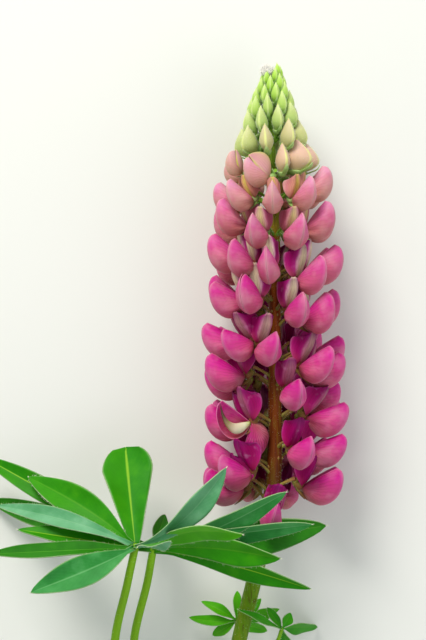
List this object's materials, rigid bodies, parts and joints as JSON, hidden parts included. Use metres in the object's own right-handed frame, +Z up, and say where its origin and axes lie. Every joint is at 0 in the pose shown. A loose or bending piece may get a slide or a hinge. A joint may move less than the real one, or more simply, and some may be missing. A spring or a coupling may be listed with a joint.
{
  "type": "lupin flower spike",
  "caption": "Cut lupin spike lying down: tiers of pink-magenta pea flowers on a reddish stem, a cone of green buds at the tip and palmate leaves below.",
  "frame": {"origin": "middle of the bounding box at its base, on the surface that the picked spike lies on", "axes": "+Y runs along the flower spike towards its tip, +Z is up from the surface, +X is to the right seen from above"},
  "size_m": [0.1496, 0.3148, 0.0776],
  "materials": {
    "stem": "matte, finely hairy",
    "petal": "satin petal",
    "petal_young": "satin petal",
    "bud": "matte, downy",
    "petiole": "matte, finely hairy",
    "leaf": "matte, finely hairy"
  },
  "bodies": {
    "root": {"stem": "stem", "whorl_01": "petal", "whorl_02": "petal", "whorl_03": "petal", "whorl_04": "petal", "whorl_05": "petal", "whorl_06": "petal", "whorl_07": "petal_young", "whorl_08": "petal_young", "whorl_09": "petal_young", "whorl_10": "petal_young", "bud_ring_1": "bud", "bud_ring_2": "bud", "bud_ring_3": "bud", "bud_ring_4": "bud", "bud_ring_5": "bud", "bud_ring_6": "bud", "spike_tip": "bud", "petiole_left": "petiole", "leaflet_left_back": "leaf", "leaflet_left_upper": "leaf", "leaflet_left_grey": "leaf", "leaflet_left_lower": "leaf", "leaflet_left_long_lower": "leaf", "leaflet_left_front": "leaf", "leaflet_left_pale": "leaf", "leaflet_left_upright": "leaf", "petiole_near": "petiole", "leaflet_near_long_upper": "leaf", "leaflet_near_outer": "leaf", "leaflet_near_short": "leaf", "leaflet_near_behind": "leaf", "leaflet_near_over_flowers": "leaf", "leaflet_near_right": "leaf", "leaflet_near_right_dark": "leaf", "leaflet_near_bright": "leaf", "leaflet_near_lower_bright": "leaf", "leaflet_near_lowest": "leaf", "petiole_small": "petiole", "leaflet_small_left_upper": "leaf", "leaflet_small_left": "leaf", "leaflet_small_left_lower": "leaf", "leaflet_small_up": "leaf", "leaflet_small_up_right": "leaf", "leaflet_small_right": "leaf", "leaflet_small_right_lower": "leaf", "petiole_side": "petiole", "leaflet_side_across": "leaf", "leaflet_side_up": "leaf", "leaflet_side_short": "leaf", "leaflet_side_right": "leaf", "leaflet_side_down": "leaf"}
  },
  "joints": []
}
